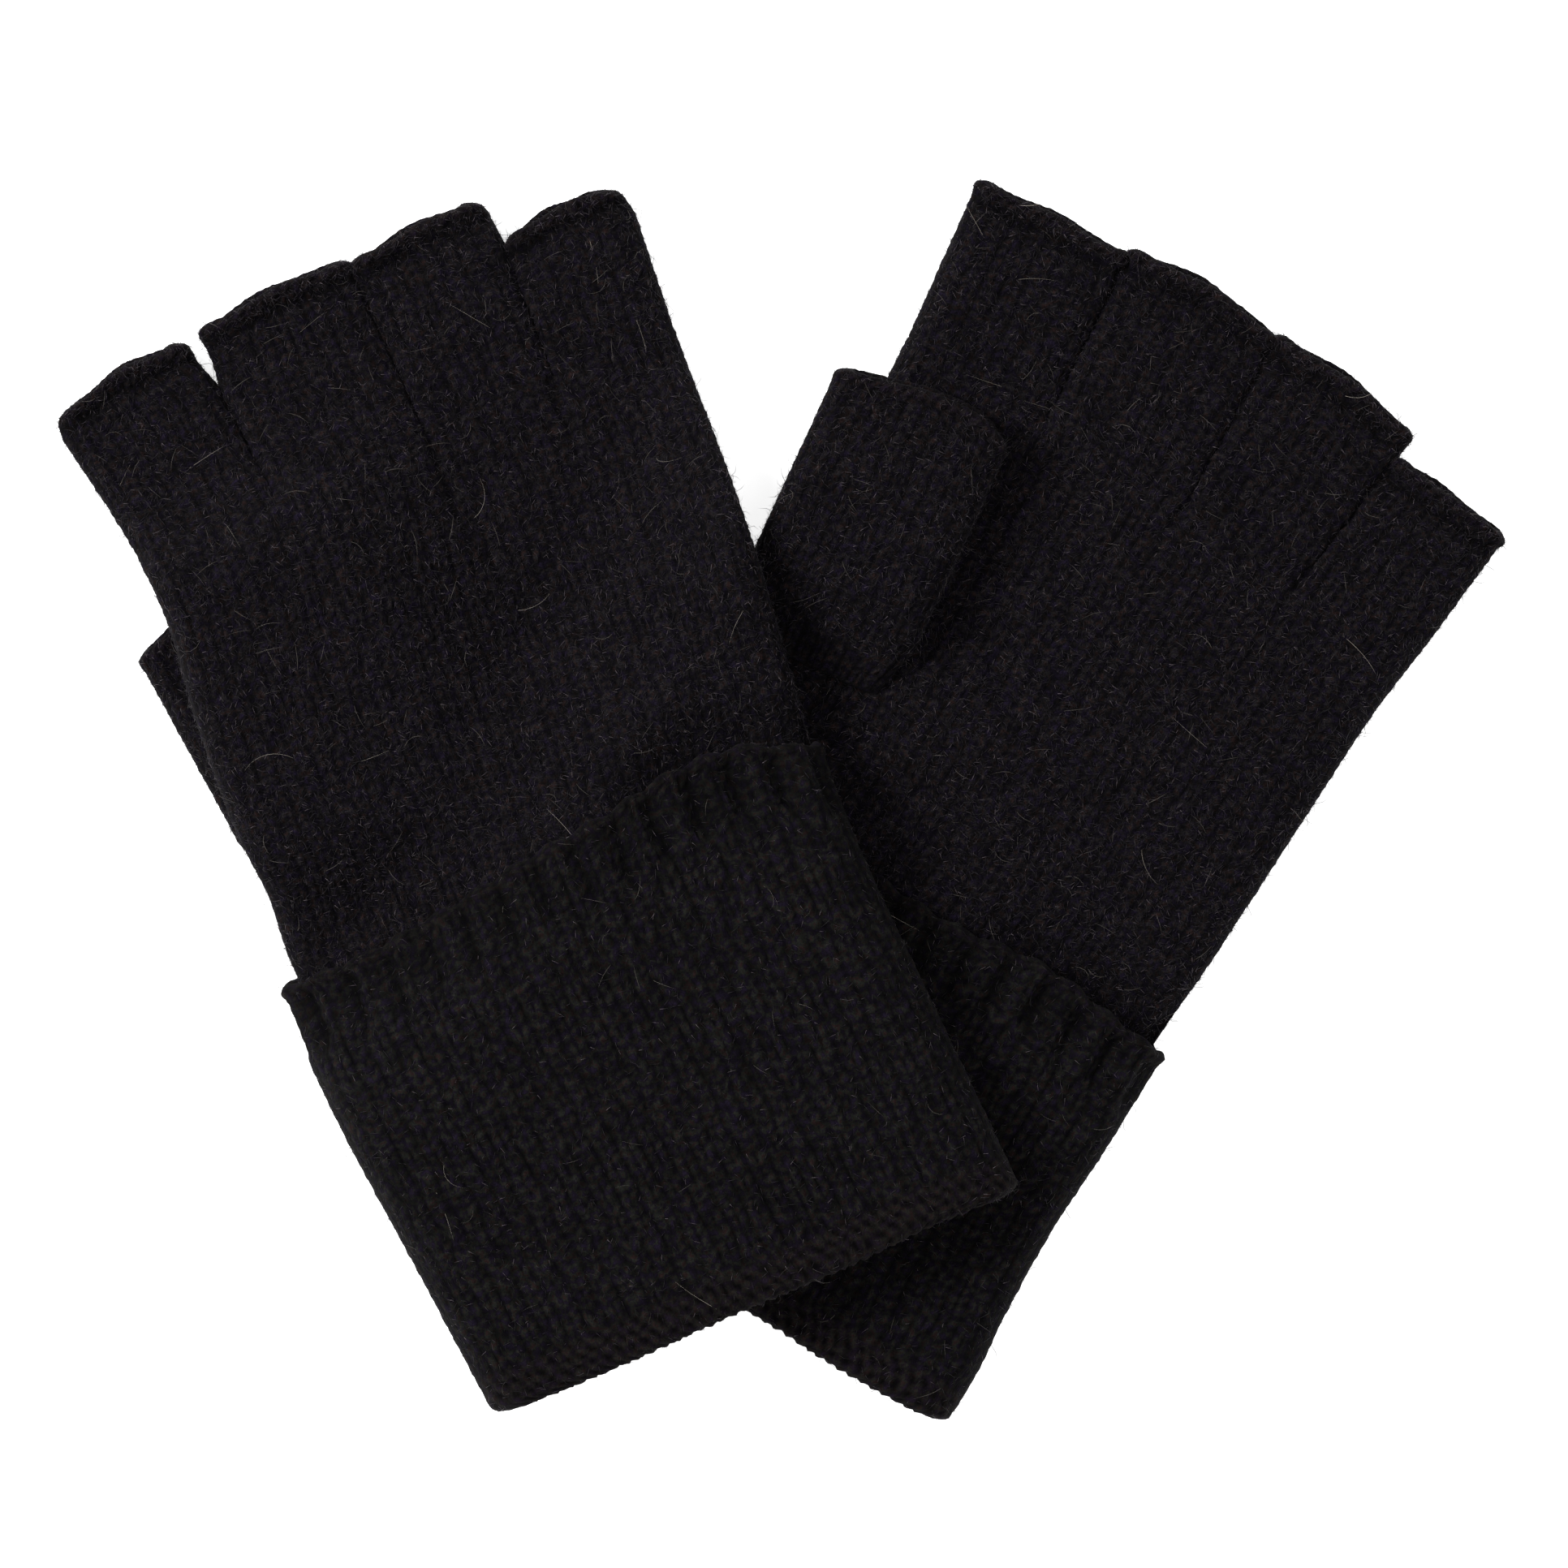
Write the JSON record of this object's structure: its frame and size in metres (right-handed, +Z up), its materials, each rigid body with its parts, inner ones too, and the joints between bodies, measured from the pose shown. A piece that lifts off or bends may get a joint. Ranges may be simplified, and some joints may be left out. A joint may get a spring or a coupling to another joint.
{
  "type": "half-finger gloves",
  "caption": "Pair of fuzzy knitted fingerless gloves with long turned-up ribbed cuffs, lying crossed, one palm up under one palm down.",
  "frame": {"origin": "middle of the pair's outline, on the surface it lies on", "axes": "+Z up off the surface, +Y towards the fingertips, +X along the pair's longest side, the right glove on the -X side and the left glove on the +X side"},
  "size_m": [0.2201, 0.1861, 0.0248],
  "materials": {
    "hand_knit": "fine stockinette in a brushed black melange yarn, matt and slightly hairy",
    "cuff_knit": "stockinette in the same yarn, a little looser, its columns showing",
    "rib_knit": "narrow ribbing in the same yarn, with a soft rolled edge",
    "edge_knit": "bound-off edge stitches and the roll of the fold in the same yarn"
  },
  "bodies": {
    "left_glove": {"left_hand": "hand_knit", "left_thumb_root": "hand_knit", "left_wrist_tube": "cuff_knit", "left_cuff_fold": "edge_knit", "left_cuff_top": "cuff_knit", "left_cuff_under": "cuff_knit", "left_rib_top": "rib_knit", "left_rib_under": "rib_knit"},
    "right_glove": {"right_hand": "hand_knit", "right_thumb_root": "hand_knit", "right_wrist_tube": "cuff_knit", "right_cuff_fold": "edge_knit", "right_cuff_under": "cuff_knit", "right_rib_under": "rib_knit"},
    "right_turned_cuff": {"right_cuff_top": "cuff_knit", "right_rib_top": "rib_knit"},
    "left_index_finger": {"left_index_sleeve": "hand_knit", "left_index_welt": "edge_knit"},
    "left_middle_finger": {"left_middle_sleeve": "hand_knit", "left_middle_welt": "edge_knit"},
    "left_ring_finger": {"left_ring_sleeve": "hand_knit", "left_ring_welt": "edge_knit"},
    "left_little_finger": {"left_little_sleeve": "hand_knit", "left_little_welt": "edge_knit"},
    "right_index_finger": {"right_index_sleeve": "hand_knit", "right_index_welt": "edge_knit"},
    "right_middle_finger": {"right_middle_sleeve": "hand_knit", "right_middle_welt": "edge_knit"},
    "right_ring_finger": {"right_ring_sleeve": "hand_knit", "right_ring_welt": "edge_knit"},
    "right_little_finger": {"right_little_sleeve": "hand_knit", "right_little_welt": "edge_knit"},
    "left_thumb": {"left_thumb_sleeve": "hand_knit", "left_thumb_welt": "edge_knit"},
    "right_thumb": {"right_thumb_sleeve": "hand_knit", "right_thumb_welt": "edge_knit"}
  },
  "joints": [
    {"name": "glove_lift", "type": "slide", "parent": "left_glove", "child": "right_glove", "axis": [0, 0, 1], "range_m": [0, 0.08]},
    {"name": "right_cuff_turn", "type": "hinge", "parent": "right_glove", "child": "right_turned_cuff", "pos_m": [-0.00338, -0.07221, 0.02495], "axis": [0.9171, 0.3987, 0], "range_deg": [0, 165]},
    {"name": "left_index_fold", "type": "hinge", "parent": "left_glove", "child": "left_index_finger", "pos_m": [0.03077, 0.064, 0.00835], "axis": [0.866, -0.5, 0], "range_deg": [0, 75]},
    {"name": "left_middle_fold", "type": "hinge", "parent": "left_glove", "child": "left_middle_finger", "pos_m": [0.05173, 0.0519, 0.00835], "axis": [0.866, -0.5, 0], "range_deg": [0, 75]},
    {"name": "left_ring_fold", "type": "hinge", "parent": "left_glove", "child": "left_ring_finger", "pos_m": [0.07165, 0.0404, 0.00835], "axis": [0.866, -0.5, 0], "range_deg": [0, 75]},
    {"name": "left_little_fold", "type": "hinge", "parent": "left_glove", "child": "left_little_finger", "pos_m": [0.08975, 0.02995, 0.00835], "axis": [0.866, -0.5, 0], "range_deg": [0, 75]},
    {"name": "right_index_fold", "type": "hinge", "parent": "right_glove", "child": "right_index_finger", "pos_m": [-0.08659, 0.04105, 0.01321], "axis": [0.9171, 0.3987, 0], "range_deg": [0, 75]},
    {"name": "right_middle_fold", "type": "hinge", "parent": "right_glove", "child": "right_middle_finger", "pos_m": [-0.0644, 0.0507, 0.01321], "axis": [0.9171, 0.3987, 0], "range_deg": [0, 75]},
    {"name": "right_ring_fold", "type": "hinge", "parent": "right_glove", "child": "right_ring_finger", "pos_m": [-0.04331, 0.05987, 0.00835], "axis": [0.9171, 0.3987, 0], "range_deg": [0, 75]},
    {"name": "right_little_fold", "type": "hinge", "parent": "right_glove", "child": "right_little_finger", "pos_m": [-0.02414, 0.06821, 0.00835], "axis": [0.9171, 0.3987, 0], "range_deg": [0, 75]},
    {"name": "left_thumb_fold", "type": "hinge", "parent": "left_glove", "child": "left_thumb", "pos_m": [0.01008, 0.03207, 0.01695], "axis": [0.9078, -0.4195, 0], "range_deg": [0, 75]},
    {"name": "right_thumb_fold", "type": "hinge", "parent": "right_glove", "child": "right_thumb", "pos_m": [-0.07069, 0.00435, -0.00015], "axis": [-0.8771, -0.4802, 0], "range_deg": [0, 75]}
  ]
}
